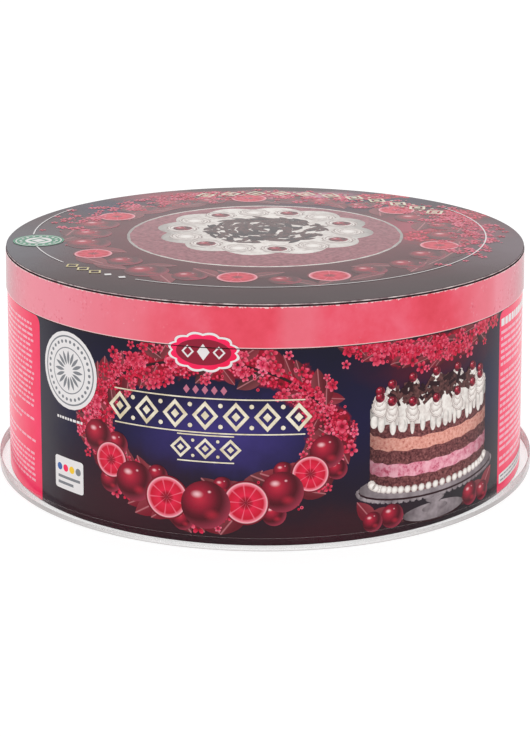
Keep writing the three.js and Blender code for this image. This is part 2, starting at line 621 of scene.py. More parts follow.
def bandInk(node):
    # pink ink on board, clouded with dabs, rubbed white at the top fold, and carrying painted
    # sheen and shade
    place = node("VectorMath", {0: node("UVMap", uv_map="printMap"), "Scale": 1 / mm}, "SCALE")
    solid = node("VectorMath", {0: node("TexCoord", out="Object"), "Scale": 1 / mm}, "SCALE")
    along = node("SeparateXYZ", [place])
    height = along.node.outputs["Y"]
    cloud = node("TexNoise", {"Vector": solid, "Scale": 1 / 20, "Detail": 5, "Roughness": 0.62})
    ground = node("ValToRGB", [cloud],
                  stops=((0.35, "de3c50"), (0.52, "e84a60"), (0.7, "ec6076")))
    upright = node("VectorMath", [solid, (1, 1, 0)], "MULTIPLY")
    waves = node("TexNoise", {"Vector": upright, "Scale": 1 / 24, "Detail": 1.5})
    drift = node("Math", [waves, 60.0, along], "MULTIPLY_ADD")
    drift = node("CombineXYZ", [node("Math", [drift, 30.0], "SUBTRACT"), 7.0])
    # painted sheen: paler pink on the band's sides, drifting in upright streaks
    pale = node("MapRange", [spots(node, drift, bandSet["pale"]), 0.0, 0.7, 0.0, 0.9])
    # painted sheen: paler pink along the card's upright waves
    streak = node("MapRange", [waves, 0.5, 0.66, 0.0, 0.35])
    # painted shade: darker pink at the band's far left and right
    ends = spots(node, place, bandSet["ends"])
    patch = node("TexNoise", {"Vector": solid, "Scale": 1 / 9, "Detail": 6, "Roughness": 0.75})
    patch = node("Math", [pale, 0.12, patch], "MULTIPLY_ADD")
    patch = node("MapRange", [patch, 0.6, 0.7, 0.0, 0.45])
    dabs = node("TexVoronoi", {"Vector": solid, "Scale": 0.9}, out="Color")
    dabEdge = node("MapRange", [dabs.node.outputs["Distance"], 0.35, 0.55, 1.0, 0.0])
    dabMask = node("Math", [patch, dabEdge], "MULTIPLY")
    dabInk = node("ValToRGB", [node("SeparateColor", [dabs])],
                  stops=((0.2, "cf2f50"), (0.8, "f0a0ae")))
    # the chips rub the top fold white, and there they also paint the highlight of the band's top
    # edge
    chipsAndHighlight = node("TexNoise", {"Vector": solid, "Scale": 1 / 1.5, "Detail": 3, "Roughness": 0.7})
    fold = node("MapRange", [height, *bandSet["wearAndHighlight"], 0.0, 0.42])
    chipsAndHighlight = node("Math", [chipsAndHighlight, fold], "ADD")
    chipsAndHighlight = node("MapRange", [chipsAndHighlight, 0.74, 0.82, 0.0, 0.85])
    cutLine = node("MapRange", [height, *bandSet["cutLine"], 0.75, 0.0])
    return overprint(node, ground, ((pale, "ee8a9a"), (streak, "ea8a9a"), (ends, "8c2b3d"),
                                    (dabMask, dabInk), (chipsAndHighlight, "f3d3d3"), (cutLine, "f3d3d3")))


def makeBand():
    edge = bandSet["edge"] * mm
    foot, top = bandLow.z, bandHigh.z
    outerFoot, outerTop = bandHigh.x, bandSet["topRadius"] * mm
    inner = outerTop - bandSet["thickness"] * mm
    profile = [(inner, foot), (outerFoot - edge, foot), (outerFoot, foot + edge)]
    profile += [(outerTop, top - edge), (outerTop - edge, top), (inner, top)]
    bm = turned(profile, closed=True)
    # the top and its edge break take the near-black board, painted shade under the disc; the foot
    # takes the pale cut edge
    for face in bm.faces:
        middle = face.calc_center_median()
        between = foot + edge / 2 < middle.z - edge / 2 < top - edge
        outer = between and middle.xy.length > outerTop - edge
        face.material_index = 0 if outer else 1 if middle.z < (foot + top) / 2 else 2
    flatAt = partial(unrolled, foot / mm)
    mapPrint(bm, flatAt, -girth / 2, girth)
    mapRows(bm, bandSet["bakeReach"], flatAt)
    film = printedFilm("laminatedPinkBandPrint", bandInk, level=bandSet["level"])
    band = finishMesh(bm, "lidBand", [film, rawCard, shadedCard])
    ridePiece(band, "band_card", "lid_band")


# rings are shares of the radius; a field is (ovals, strength, colour)
discSet = {"edge": 0.12, "level": 0.105, "rings": (0.75, 0.5, 0.25), "cloud": (20, 22),
           "dabsPerMm": 0.7, "ground": "341319",
           "fields": ((((0, 2, 112, 90),), 0.9, "8a3a46"),
                      # the grey fields at the left and right are painted sheen
                      (((-94, -16, 46, 70),), 0.95, "5e5c64"),
                      (((94, -16, 46, 70),), 0.95, "6c5a62"),
                      (((36, 66, 56, 30), (-60, 52, 34, 30)), 0.8, "25204a"),
                      (((20, 70, 18, 12),), 0.6, "5a58a8"),
                      (((62, 14, 34, 34), (-30, 74, 40, 14)), 0.85, "c04a62"),
                      (((14, 76, 34, 13),), 0.9, "f09aac")),
           "crown": ((64, 0, 22, 26), (74, 34, 18, 26), (-20, 74, 34, 14), (50, 74, 20, 10))}


def discInk(node):
    # dark plum ink on board; the laminate mirrors the pale room at a low angle and greys it, and
    # grey fields at the left and right paint more of that sheen
    place = node("VectorMath", {0: node("TexCoord", out="Object"), "Scale": 1 / mm}, "SCALE")
    flat = node("VectorMath", [place, (1, 1, 0)], "MULTIPLY")
    loose = loosened(node, flat, place, *discSet["cloud"])
    ground = colourFields(node, discSet["ground"], loose, discSet["fields"])
    crown = spots(node, loose, discSet["crown"])
    return foliage(node, ground, flat, crown, discSet["dabsPerMm"])


def makeDisc():
    edge = discSet["edge"] * mm
    under, top, radius = discLow.z, discHigh.z, discHigh.x
    profile = [(0, under), (radius - edge, under), (radius, under + edge)]
    profile += [(radius, top - edge), (radius - edge, top)]
    profile += [(radius * share, top) for share in discSet["rings"]] + [(0, top)]
    bm = turned(profile)
    bmesh.ops.recalc_face_normals(bm, faces=bm.faces)
    # the edge breaks and the underside take the near-black board, painted shade at the disc's lip
    # and under it; the upright edge takes the blotched darker board
    for face in bm.faces:
        upright = abs(face.normal.z) < 0.3
        face.material_index = 0 if face.normal.z > 0.9 else 1 if upright else 2
    mapDisc(bm)
    film = printedFilm("laminatedDiscPrint", discInk, level=discSet["level"])
    disc = finishMesh(bm, "lidDisc", [film, blotchedDarkCard, shadedCard])
    ridePiece(disc, "disc_card", "top_disc")


makeBand()
makeDisc()
print("lid made")


# inks of the stamps; those with a drawing read the stamp's own map, where 1 is its radius

def cloudedInk(node, stops, grain):
    # one ink whose tint drifts between stops, with blotches of grain millimetres
    place = node("TexCoord", out="Object")
    noise = node("TexNoise", {"Vector": place, "Scale": 1 / (grain * mm), "Detail": 4,
                              "Roughness": 0.6})
    return node("ValToRGB", [noise], stops=stops)


def aroundStamp(node):
    # the distance from the stamp's middle, and the angle round it
    motif = node("UVMap", uv_map="motif")
    x = node("SeparateXYZ", [motif])
    return ovalReach(node, motif, 0, 0), node("Math", [x.node.outputs["Y"], x], "ARCTAN2")


def berryInk(node):
    # four-colour print of a wet dark red fruit: deep body, soft window light, thin lit rim
    motif = node("UVMap", uv_map="motif")
    reach = ovalReach(node, motif, -0.26, 0.28)
    body = node("ValToRGB", [reach], stops=((0.0, "c4283f"), (0.4, "961630"), (0.75, "5c0e1f"),
                                            (1.0, "430a15")))
    glow = node("MapRange", [reach, 0.9, 1.35, 0.0, 0.7])
    belly = spots(node, motif, ((0.25, -0.4, 0.42, 0.3),), 0.55)
    shine = spots(node, motif, ((-0.34, 0.42, 0.3, 0.2), (0.16, 0.55, 0.1, 0.08)), 0.9)
    return overprint(node, body, ((glow, "b03a52"), (belly, "c8263f"), (shine, "f3c3c8")))


def wheelInk(node, wedges=9):
    # a cut round fruit: pale rind ring, wet crimson flesh in wedges, dark heart
    reach, angle = aroundStamp(node)
    flesh = node("ValToRGB", [reach], stops=((0.0, "6e0a1c"), (0.22, "a80f2a"), (0.34, "e02145"),
                                             (0.74, "c4122f"), (0.86, "ee8496"), (0.9, "f3b6bd"),
                                             (0.94, "7a0d22")))
    wave = node("Math", [node("Math", [angle, wedges / 2], "MULTIPLY")], "SINE")
    line = node("MapRange", [node("Math", [wave], "ABSOLUTE"), 0.0, 0.3, 0.8, 0.0])
    inside = node("MapRange", [reach, 0.84, 0.86, 1.0, 0.0])
    return overprint(node, flesh, ((node("Math", [line, inside], "MULTIPLY"), "f0728a"),))


def dollopInk(node, ridges=7, twist=5.0):
    # whipped cream seen from above: turning ridges, grey in the folds
    reach, angle = aroundStamp(node)
    turn = node("Math", [reach, twist, angle], "MULTIPLY_ADD")
    ridge = node("Math", [node("Math", [turn, ridges], "MULTIPLY")], "SINE")
    fold = node("Math", [ridge, 0.22, reach], "MULTIPLY_ADD")
    return node("ValToRGB", [fold], stops=((0.1, "fbf7f2"), (0.55, "f0e8e2"), (0.85, "cdc1bc"),
                                           (1.0, "a3948f")))


def crumbInk(node, stops, crumb):
    # open pores and lit crumbs of crumb millimetres, shaded round towards the drawing's sides
    place = node("TexCoord", out="Object")
    noise = node("TexNoise", {"Vector": place, "Scale": 1 / (crumb * mm), "Detail": 3,
                              "Roughness": 0.75})
    side = node("SeparateXYZ", [node("UVMap", uv_map="motif")])
    side = node("Math", [node("Math", [side], "ABSOLUTE"), 3.0], "POWER")
    shade = node("Math", [side, 0.6], "MULTIPLY")
    return overprint(node, node("ValToRGB", [noise], stops=stops), ((shade, "1c0a0e"),))


def blossomInk(node):
    # five-petal blossoms from crimson to pale pink by their tone, each with a dark eye
    reach = ovalReach(node, node("UVMap", uv_map="motif"), 0, 0)
    tone = node("Attribute", out="Fac", attribute_name="tone")
    deep = node("ValToRGB", [reach], stops=((0.1, "3c0010"), (0.45, "b00028"), (0.9, "dc1040")))
    pale = node("ValToRGB", [reach], stops=((0.1, "7c0624"), (0.4, "e0305c"), (0.9, "f08aa2")))
    return overprint(node, deep, ((tone, pale),))


def leafInk(node):
    # dark leaves with a lit midrib, chocolate to wine red by their tone
    side = node("SeparateXYZ", [node("UVMap", uv_map="motif")], out="Y")
    tone = node("Attribute", out="Fac", attribute_name="tone")
    lit = node("MapRange", [side, -0.3, 0.4, 0.0, 0.45])
    rib = node("MapRange", [node("Math", [side], "ABSOLUTE"), 0.0, 0.05, 0.8, 0.0])
    return overprint(node, "351b1e", ((tone, "7c1026"), (lit, "a14a52"), (rib, "c98086")))


spongeStops = ((0.32, "3a1a1e"), (0.48, "6a3538"), (0.66, "9a5f5d"))
salmonStops = ((0.32, "b7655d"), (0.47, "e29a8b"), (0.7, "f2b9aa"))
creamStops = ((0.3, "b03a55"), (0.42, "dd8298"), (0.6, "f2b4c1"))
inks = {key: printedFilm(*entry) for key, entry in {
    "crimson": ("printedCrimsonField", cloudedInk, ((0.3, "f0144c"), (0.7, "fc2c66")), 22),
    "pale": ("printedPaleRows", "f4a9ba"),
    "cream": ("printedCreamGold", cloudedInk, ((0.35, "d3c4a5"), (0.62, "efe6d2")), 4),
    "white": ("printedLabelWhite", "e6e2e2"),
    "grey": ("printedLabelGrey", "7d7f84"),
    "blue": ("printedTestPatchBlue", "3d63a4"),
    "yellow": ("printedTestPatchYellow", "f2c530"),
    "rose": ("printedRoseAccent", "bd6f86"),
    "twig": ("printedDarkTwig", "2b0f17"),
    "stem": ("printedStem", "8e1b33"),
    "green": ("printedSealGreen", cloudedInk, ((0.3, "2f7a5b"), (0.7, "4a9a78")), 5),
    "gold": ("printedPaleGold", cloudedInk, ((0.35, "b9a56a"), (0.62, "e3d59c")), 4),
    "berry": ("printedGlossyBerry", berryInk),
    "wheel": ("printedFruitWheel", wheelInk),
    "dollop": ("printedWhippedCream", dollopInk),
    "sponge": ("printedDarkSponge", crumbInk, spongeStops, 0.9),
    "salmon": ("printedSalmonCream", crumbInk, salmonStops, 1.0),
    "pink": ("printedPinkCream", crumbInk, creamStops, 2.4),
    "whip": ("printedCreamCoat", crumbInk, ((0.35, "d9cec8"), (0.6, "f5efe9")), 3.0),
    "pewter": ("printedPewter", crumbInk, ((0.35, "75696e"), (0.65, "a89ca0")), 9.0),
    "mauve": ("printedCrumbCoat", cloudedInk, ((0.35, "7e3c46"), (0.62, "a8626c")), 1.6),
    "flake": ("printedDarkFlake", cloudedInk, ((0.35, "2a1215"), (0.62, "6b4341")), 1.3),
    "blossom": ("printedBlossom", blossomInk),
    "leaf": ("printedDarkLeaf", leafInk),
}.items()}


def finishArt(bm, name, slotName, inkNames):
    piece = finishMesh(bm, name, [inks[ink] for ink in inkNames], closed=False)
    ridePiece(piece, slotName)


def printOnWall(bm, name, inkNames, across=(fieldLeft, fieldRight), reach=wallReach,
                radiusAt=wallRadius, slotName="wall_card"):
    trimArt(bm, across, reach)
    repeatBehind(bm)
    wrapOn(bm, radiusAt, reach)
    finishArt(bm, name, slotName, inkNames)


def printOnDisc(bm, name, inkNames):
    layOnDisc(bm)
    finishArt(bm, name, "disc_card", inkNames)


print("inks made")


# artwork on the wall
# A row of dashes is (half height, (shortest, longest), gap, lift, ink).

panelSet = {"corner": 3.2, "margins": (1.4, 4.2), "gutter": 4.6, "box": (3.4, 7.2),
            "boxInset": 1.2, "boxRowRise": 0.8, "headline": 62.4, "headlineShare": 0.86,
            "paragraphEnds": 0.14, "endLengths": (0.3, 0.8), "lineLengths": (0.93, 1),
            "headDashes": (1.35, (1.6, 3.2), 0.7, 0.09, 1),
            "boxDashes": (0.28, (1.0, 3.6), 0.6, 0.13, 2),
            "columns": ({"top": 58.8, "foot": 9.0, "pitch": 2.3,
                         "dashes": (0.56, (1.6, 6.5), 0.6, 0.09, 0)},
                        {"top": 62.6, "foot": 6.0, "pitch": 1.95,
                         "dashes": (0.42, (1.0, 4.6), 0.7, 0.09, 0)})}


def dashRow(bm, draw, start, height, reach, dashes):
    halfHeight, lengths, gap, lift, ink = dashes
    across = 0.0
    while across < reach - lengths[0]:
        dash = min(draw.uniform(*lengths), reach - across)
        stamp(bm, "bar", (start + across + dash / 2, height), (dash / 2, halfHeight), lift, ink)
        across += dash + gap


def makePanels():
    left, right = fieldRight, fieldLeft + backTurn
    middle = wallHeight / 2
    bm = newArt()
    size = ((right - left) / 2, middle - wrapSet["margins"][1])
    stamp(bm, "bar", ((left + right) / 2, middle), size, 0.04)
    bmesh.ops.bevel(bm, geom=[vert for vert in bm.verts if vert.co.y > middle],
                    affect="VERTICES", offset=panelSet["corner"], segments=6, profile=0.5,
                    material=-1)
    printOnWall(bm, "sidePanels", ["crimson"], across=(left, right))

    # rows of short dashes stand where small print would be; they spell nothing
    bm = newArt()
    draw = random.Random(11)
    before, after = panelSet["margins"]
    textWidth = (right - left - before - after - panelSet["gutter"]) / 2
    for side, rows in enumerate(panelSet["columns"]):
        start = left + before + side * (textWidth + panelSet["gutter"])
        height = rows["top"]
        while height > rows["foot"]:
            lastOfParagraph = draw.random() < panelSet["paragraphEnds"]
            lengths = panelSet["endLengths" if lastOfParagraph else "lineLengths"]
            dashRow(bm, draw, start, height, textWidth * draw.uniform(*lengths), rows["dashes"])
            height -= rows["pitch"] * (1.5 if lastOfParagraph else 1)
    start = left + before
    dashRow(bm, draw, start, panelSet["headline"], textWidth * panelSet["headlineShare"],
            panelSet["headDashes"])
    low, high = panelSet["box"]
    middle, inset = (low + high) / 2, panelSet["boxInset"]
    size = (textWidth / 2, (high - low) / 2)
    stamp(bm, "plate", (start + textWidth / 2, middle), size, 0.09, 1)
    for row in (-1, 1):
        dashRow(bm, draw, start + inset, middle + panelSet["boxRowRise"] * row,
                textWidth - 2 * inset, panelSet["boxDashes"])
    printOnWall(bm, "panelRows", ["pale", "white", "grey"], across=(left, right))


def onGarland(turn, out=0.0):
    # a point of the oval, or out millimetres outside it; turn runs from the foot of the oval
    x, y = garlandSet["centre"]
    halfWidth, halfHeight = garlandSet["halfWidth"] + out, garlandSet["halfHeight"] + out
    return x + halfWidth * math.sin(turn), y - halfHeight * math.cos(turn)


# sizes are the least, the most and the likeliest; those up to budUpTo are round buds
bloomSet = {"sizes": (0.8, 2.7, 0.8), "budUpTo": 1.25, "budShare": 0.5, "toneSpread": 0.3,
            "lift": 0.1, "liftStep": 0.0003}


def bloom(bm, draw, place, index, paleness=0.3):
    # one blossom or bud; index puts it over those before it
    size = draw.triangular(*bloomSet["sizes"])
    kind = "blossom"
    if size <= bloomSet["budUpTo"]:
        kind, size = "dot", size * bloomSet["budShare"]
    tone = min(1, abs(draw.gauss(paleness, bloomSet["toneSpread"])))
    lift = bloomSet["lift"] + bloomSet["liftStep"] * index
    stamp(bm, kind, place, size, lift, 0, draw.uniform(0, math.tau), tone)


def makeGarland():
    # an oval garland round the frieze: leaves and blossoms all round, fruit along its foot
    draw = random.Random(5)
    greens, fruit, flowers = newArt(), newArt(), newArt()
    steps = garlandSet["vineSteps"]
    line = [onGarland(math.tau * step / steps) for step in range(steps + 1)]
    strip(greens, line, garlandSet["vineWidth"], 0.04)
    for index in range(garlandSet["leaves"]):
        turn = math.tau * index / garlandSet["leaves"]
        place = onGarland(turn, draw.choice(garlandSet["leafSides"]))
        along = math.atan2(garlandSet["halfHeight"] * math.sin(turn),
                           garlandSet["halfWidth"] * math.cos(turn))
        size = draw.uniform(*garlandSet["leafSizes"])
        size += garlandSet["footLeaf"] * max(0, math.cos(turn))
        stamp(greens, "leaf", place, size, 0.06 + 0.0005 * index, 1,
              along + draw.choice(garlandSet["leafTurns"]), draw.random())
    inmost, outmost = garlandSet["blossomReach"]
    atFoot, atRight, elsewhere = garlandSet["blossomShares"]
    for index in range(garlandSet["blossoms"]):
        turn = draw.uniform(0, math.tau)
        # fewer at the foot, where the fruit is, and on the right, where the cake is
        share = atRight if math.sin(turn) > 0 else elsewhere
        if math.cos(turn) > garlandSet["footFrom"]:
            share = atFoot
        if draw.random() < share:
            out = draw.gauss(garlandSet["blossomMiddle"], garlandSet["spread"])
            bloom(flowers, draw, onGarland(turn, min(outmost, max(inmost, out))), index)
    step = garlandSet["fruitStep"]
    for index in range(-4, 4):
        place = onGarland((index + 0.5) * step, garlandSet["berrySides"][index % 2])
        size = draw.uniform(*garlandSet["berrySizes"])
        stamp(fruit, "round", place, size, 0.37 + 0.002 * index)
    for order, index in enumerate(sorted(range(-4, 5), key=abs, reverse=True)):
        wheel = index % 2
        size = garlandSet["fruitSize"] - garlandSet["taper"] * abs(index)
        stamp(fruit, "round", onGarland(index * step), size, 0.38 + 0.004 * order, wheel,
              garlandSet["wheelTurn"] * index * wheel)
    printOnWall(greens, "garlandLeaves", ["twig", "leaf"])
    printOnWall(flowers, "garlandBlossoms", ["blossom"])
    printOnWall(fruit, "garlandFruit", ["berry", "wheel"])


swagSet = {"from": 27.0, "to": 96.0, "height": 68.5, "sag": 8.0, "steps": 40, "vineWidth": 0.8,
           "leaves": 30, "leafSides": (-2.6, 2.4), "leafSizes": (3.2, 4.6),
           "leafTurns": (-0.9, 0.9), "blossoms": 210, "spread": (1, 2.4), "paleness": 0.1}
# a sprig's fruit is (x, y, size) and a leaf (x, y, turn), with x away from the stand
sprigSet = {"reach": 21.0, "leaf": 5.6,
            "leaves": ((-4, 6.0, 0.35), (1, 7.4, -0.2), (6, 8.8, 0.9)), "toneStep": 0.4,
            "fruit": ((-3.4, 6.6, 4.3), (3.8, 5.6, 3.6))}


def makeSwag():
    # a swag of blossoms over the cake, and a sprig of leaves and fruit each side of its stand
    draw = random.Random(8)
    greens, flowers = newArt(), newArt()
    line = []
    for step in range(swagSet["steps"] + 1):
        share = step / swagSet["steps"]
        line.append((swagSet["from"] + (swagSet["to"] - swagSet["from"]) * share,
                     swagSet["height"] - swagSet["sag"] * math.sin(math.pi * share)))
    strip(greens, line, swagSet["vineWidth"], 0.04)
    for index in range(swagSet["leaves"]):
        x, y = line[round(index * swagSet["steps"] / swagSet["leaves"])]
        place = (x, y + draw.choice(swagSet["leafSides"]))
        stamp(greens, "leaf", place, draw.uniform(*swagSet["leafSizes"]), 0.06 + 0.0005 * index,
              1, draw.uniform(*swagSet["leafTurns"]), draw.random())
    across, up = swagSet["spread"]
    for index in range(swagSet["blossoms"]):
        x, y = line[draw.randrange(len(line))]
        place = (x + draw.gauss(0, across), y + draw.gauss(0, up))
        bloom(flowers, draw, place, index, swagSet["paleness"])
    for side in (-1, 1):
        middle = standSet["x"] + side * sprigSet["reach"]
        for index, (x, y, turn) in enumerate(sprigSet["leaves"]):
            stamp(greens, "leaf", (middle + side * x, y), sprigSet["leaf"], 0.08 + 0.002 * index,
                  1, side * turn, sprigSet["toneStep"] * index)
        for order, (x, y, size) in enumerate(sprigSet["fruit"]):
            stamp(greens, "round", (middle + side * x, y), size, 0.1 + 0.01 * order, 2)
    printOnWall(greens, "swagLeaves", ["twig", "leaf", "berry"])
    printOnWall(flowers, "swagBlossoms", ["blossom"])


# foot is (stamp, height, size, ink), each over the one before
standSet = {"x": 61.0, "plate": 17.0, "halfWidth": 30.0, "halfHeight": 5.4, "thickness": 0.7,
            "lace": 34, "laceSize": 1.5, "laceTurn": 0.3, "laceInset": (0.4, 0.3),
            "foot": (("round", 4.6, (13.5, 3.2), 1), ("round", 5.2, (13.5, 3.0), 0),
                     ("bar", 10.0, (2.3, 5.0), 0), ("round", 6.2, (5.6, 1.5), 0),
                     ("round", 9.6, (4.2, 1.5), 0))}


def makeStand():
    # a footed pewter stand with a beaded edge
    x, plate, count = standSet["x"], standSet["plate"], standSet["lace"]
    halfWidth, halfHeight = standSet["halfWidth"], standSet["halfHeight"]
    under = plate - standSet["thickness"]
    laceWidth = halfWidth - standSet["laceInset"][0]
    laceHeight = halfHeight - standSet["laceInset"][1]
    bm = newArt()
    for order, (name, height, size, ink) in enumerate(standSet["foot"]):
        stamp(bm, name, (x, height), size, 0.1 + 0.005 * order, ink)
    for index in range(count):
        turn = math.pi * ((index + 0.5) / count - 0.5)
        place = (x + laceWidth * math.sin(turn), under - laceHeight * math.cos(turn))
        stamp(bm, "dollop", place, standSet["laceSize"], 0.13 + 0.001 * (index % 2), 0,
              standSet["laceTurn"] * index)
    stamp(bm, "round", (x, under), (halfWidth, halfHeight), 0.135, 1)
    stamp(bm, "round", (x, plate), (halfWidth, halfHeight), 0.14)
    printOnWall(bm, "cakeStandPrint", ["pewter", "twig"])


# a layer is (ink, depth) from the foot up, and a tier of a dollop is (rise, share of its size)
layerCakeSet = {"foot": 18.4, "halfWidth": 26.0, "sag": 4.4, "segments": (26, 2),
                "wave": 0.3, "waves": 29, "overlap": 0.6,
                "layers": (("sponge", 5.0), ("pink", 4.4), ("sponge", 4.6), ("salmon", 4.4),
                           ("sponge", 4.6), ("whip", 3.0)),
                "drips": 20, "dripReach": 0.97, "dripWidths": (0.9, 1.5),
                "dripHeights": (1.5, 3.8), "dripDrop": 3.0,
                "flakes": 120, "flakeWidths": (1.0, 2.6), "flakeHeights": (0.5, 0.9),
                "flakeField": (0.72, 3.4), "flakeRise": 3.6, "flakeTurn": 0.7,
                "dollops": 14, "dollop": 3.7, "dollopInset": 3, "dollopRise": 0.9,
                "tiers": ((0, 1.0), (1.3, 0.76), (2.4, 0.5)),
                "flatness": 0.74, "berry": 1.7, "berryRise": 3.9, "pearls": 27, "pearl": 1.4}


def makeCakeLayers(bm, used):
    # each layer is a grid bowed to the cake's round front; the top of the last comes back
    centre, halfWidth, sag = standSet["x"], layerCakeSet["halfWidth"], layerCakeSet["sag"]
    foot = layerCakeSet["foot"]
    columns, rows = layerCakeSet["segments"]
    motif = bm.loops.layers.uv["motif"]
    for order, (name, depth) in enumerate(layerCakeSet["layers"]):
        made = bmesh.ops.create_grid(bm, x_segments=columns, y_segments=rows, size=1)["verts"]
        for vert in made:
            across, up = vert.co.x, (vert.co.y + 1) / 2
            turn = across * math.pi / 2
            height = foot + depth * up - sag * math.cos(turn)
            if up == 1:
                phase = across * layerCakeSet["waves"] + foot * 3
                height += layerCakeSet["wave"] * math.sin(phase)
            elif up == 0:
                height -= layerCakeSet["overlap"]
            vert.co = (centre + halfWidth * math.sin(turn), height, 0.2 - 0.003 * order)
        for face in {face for vert in made for face in vert.link_faces}:
            face.material_index = used.index(name)
            for loop in face.loops:
                loop[motif].uv = ((loop.vert.co.x - centre) / halfWidth, 0)
        foot += depth
    return foot


def makeLayerCake():
    # a whole layered cake, drawn plainly from a little above
    used = ["sponge", "pink", "salmon", "whip", "dollop", "flake", "berry", "twig"]
    whip, cream, flake, berry, twig = (used.index(name) for name in used[3:])
    centre, halfWidth, sag = standSet["x"], layerCakeSet["halfWidth"], layerCakeSet["sag"]
    draw = random.Random(3)
    bm = newArt()
    top = makeCakeLayers(bm, used)
    for index in range(layerCakeSet["drips"]):
        across = draw.uniform(-layerCakeSet["dripReach"], layerCakeSet["dripReach"])
        y = top - sag * math.sqrt(1 - across ** 2) - layerCakeSet["dripDrop"]
        size = (draw.uniform(*layerCakeSet["dripWidths"]),
                draw.uniform(*layerCakeSet["dripHeights"]))
        stamp(bm, "round", (centre + across * halfWidth, y), size, 0.21 + 0.0005 * index, whip)
    stamp(bm, "round", (centre, top), (halfWidth, sag), 0.23, whip)
    fieldShare, fieldHeight = layerCakeSet["flakeField"]
    for index in range(layerCakeSet["flakes"]):
        reach, angle = math.sqrt(draw.random()), draw.uniform(0, math.tau)
        place = (centre + fieldShare * halfWidth * reach * math.cos(angle),
                 top + layerCakeSet["flakeRise"] + fieldHeight * reach * math.sin(angle))
        size = (draw.uniform(*layerCakeSet["flakeWidths"]),
                draw.uniform(*layerCakeSet["flakeHeights"]))
        stamp(bm, "bar", place, size, 0.3 + 0.0002 * index, flake if index % 3 else twig,
              draw.gauss(0, layerCakeSet["flakeTurn"]))
    # dollops round the top, the far ones first and under the flakes
    count = layerCakeSet["dollops"]
    angles = [math.tau * (index + 0.5) / count for index in range(count)]
    for order, angle in enumerate(sorted(angles, key=math.sin, reverse=True)):
        x = centre + (halfWidth - layerCakeSet["dollopInset"]) * math.cos(angle)
        y = top + layerCakeSet["dollopRise"] + (sag + 0.2) * math.sin(angle)
        lift = (0.25 if math.sin(angle) > 0 else 0.33) + 0.006 * (order % 7)
        for tier, (rise, share) in enumerate(layerCakeSet["tiers"]):
            size = layerCakeSet["dollop"] * share
            stamp(bm, "dollop", (x, y + rise), (size, size * layerCakeSet["flatness"]),
                  lift + 0.0015 * tier, cream, draw.uniform(0, 6))
        place = (x, y + layerCakeSet["berryRise"])
        stamp(bm, "round", place, layerCakeSet["berry"], lift + 0.0045, berry)
    pearls = layerCakeSet["pearls"]
    for index in range(pearls):
        across = math.sin((index / (pearls - 1) - 0.5) * math.pi)
        y = layerCakeSet["foot"] - sag * math.sqrt(max(0, 1 - across * across)) + 0.4
        stamp(bm, "dollop", (centre + (halfWidth - 0.6) * across, y), layerCakeSet["pearl"],
              0.38 + 0.001 * (index % 2), cream, index)
    printOnWall(bm, "layerCakePrint", used)


signLift = 0.45  # signs are printed over everything else
# a row of the title's frieze is (height, half length, lozenges, half height)
titleSet = {"x": -19.5, "rows": ((44.0, 35.5, 7, 4.9), (32.8, 12.5, 3, 3.6)),
            "ring": 0.43, "lozenge": (0.14, 0.32), "dot": 0.16, "dotRise": 0.72,
            "ruleGap": 0.9, "ruleInset": 3, "rule": 0.22,
            "accents": 5, "accentHeight": 52.6, "accentPitch": 3.1, "accent": (1.1, 1.5)}


def makeTitle():
    # a plain lozenge frieze between rules stands where the words would be
    bm = newArt()
    x = titleSet["x"]
    for y, reach, count, size in titleSet["rows"]:
        pitch = 2 * reach / count
        for index in range(count):
            here = x - reach + pitch * (index + 0.5)
            stamp(bm, "lozengeRing", (here, y), (pitch * titleSet["ring"], size), signLift)
            wide, tall = titleSet["lozenge"]
            stamp(bm, "lozenge", (here, y), (pitch * wide, size * tall), signLift)
            for side in (-1, 1) if index else ():
                place = (here - pitch / 2, y + side * size * titleSet["dotRise"])
                stamp(bm, "dot", place, size * titleSet["dot"], signLift)
        for side in (-1, 1):
            place = (x, y + side * (size + titleSet["ruleGap"]))
            stamp(bm, "bar", place, (reach - titleSet["ruleInset"], titleSet["rule"]), signLift)
    for index in range(titleSet["accents"]):
        here = x + (index - (titleSet["accents"] - 1) / 2) * titleSet["accentPitch"]
        stamp(bm, "lozenge", (here, titleSet["accentHeight"]), titleSet["accent"], signLift, 1)
    printOnWall(bm, "titleFrieze", ["cream", "rose"])


# the plaque is made of layers, each (stamp, less half width, less half height, ink), and a
# lozenge on it is (stamp, x, half width, half height)
badgeSet = {"place": (-20.0, 65.2), "halfWidth": 12.2, "halfHeight": 6.8,
            "bandReach": (0.08, 14.5),
            "layers": (("scallop", 0, 0, 0), ("scallop", 0.9, 0.8, 1), ("round", 2.6, 2.2, 2),
                       ("hairRing", 2.6, 2.2, 1)),
            "lozenges": (("lozengeRing", -5.2, 2.1, 2.2), ("lozenge", 0, 2.1, 2.8),
                         ("lozengeRing", 5.2, 2.1, 2.2))}


def makeBadge():
    # a blank scalloped plaque printed over the wall and the lid band alike
    bandReach = [wallHeight + height for height in badgeSet["bandReach"]]
    x, y = badgeSet["place"]
    for name, slotName, radiusAt, reach in (
            ("badgeLower", "wall_card", wallRadius, wallReach),
            ("badgeUpper", "band_card", bandRadius, bandReach)):
        bm = newArt()
        for order, (kind, lessWidth, lessHeight, ink) in enumerate(badgeSet["layers"]):
            size = (badgeSet["halfWidth"] - lessWidth, badgeSet["halfHeight"] - lessHeight)
            stamp(bm, kind, (x, y), size, signLift + 0.01 * order, ink)
        for kind, out, wide, tall in badgeSet["lozenges"]:
            stamp(bm, kind, (x + out, y), (wide, tall), signLift + 0.04)
        printOnWall(bm, name, ["white", "crimson", "stem"], reach=reach, radiusAt=radiusAt,
                    slotName=slotName)


